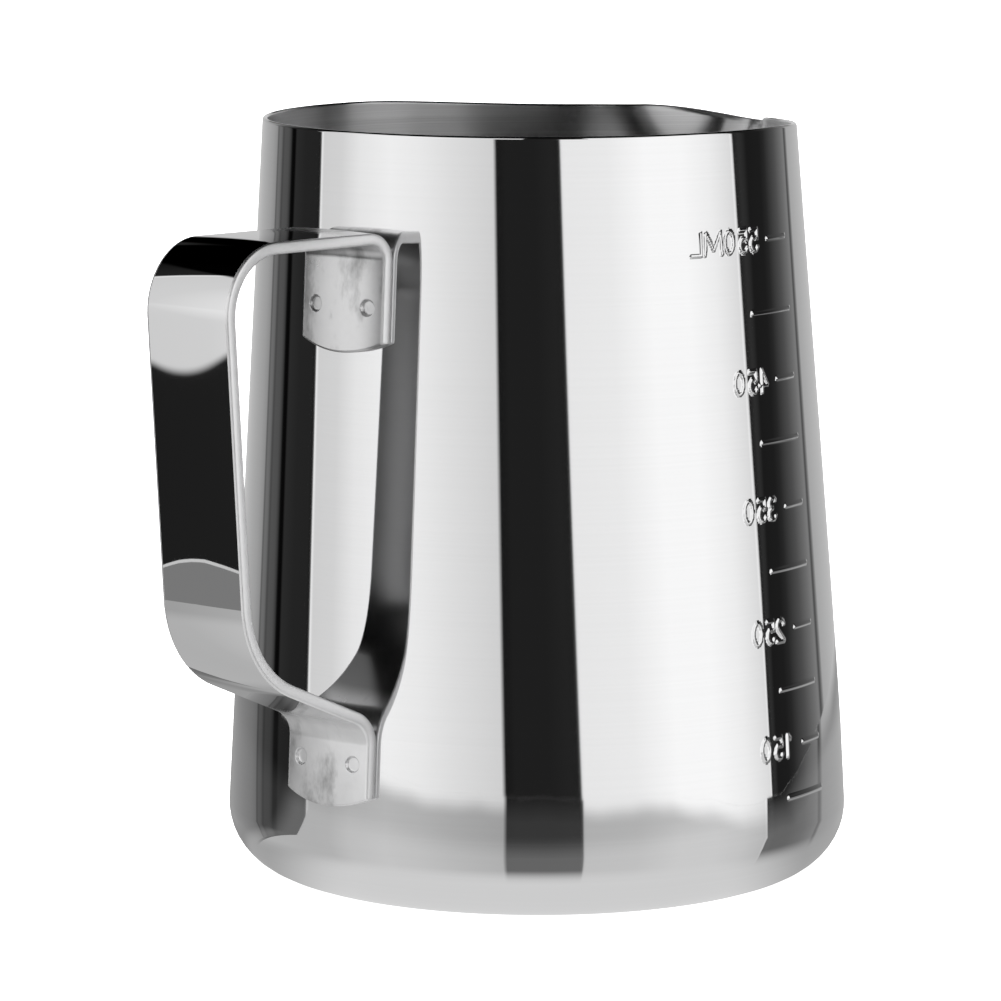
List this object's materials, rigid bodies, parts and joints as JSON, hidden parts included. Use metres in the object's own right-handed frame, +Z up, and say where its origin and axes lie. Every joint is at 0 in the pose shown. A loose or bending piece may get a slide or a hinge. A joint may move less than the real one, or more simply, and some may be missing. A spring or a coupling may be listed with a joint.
{
  "type": "milk frothing pitcher",
  "caption": "Tapered stainless-steel milk frothing pitcher with a pressed spout, a bent strap handle spot-welded on, and a stamped millilitre scale.",
  "frame": {"origin": "centre of the flat base, on the vessel's axis", "axes": "+Z up, +X towards the spout, handle along -X"},
  "size_m": [0.1257, 0.0914, 0.1112],
  "materials": {
    "vessel_steel": "mirror polished outside, brushed around the inside",
    "strap_steel": "polished grip, satin tabs with heat marks at the bends",
    "weld_steel": "as fused"
  },
  "bodies": {
    "root": {"vessel": "vessel_steel", "handle_strap": "strap_steel", "top_spot_welds": "weld_steel", "lower_spot_welds": "weld_steel"}
  },
  "joints": []
}
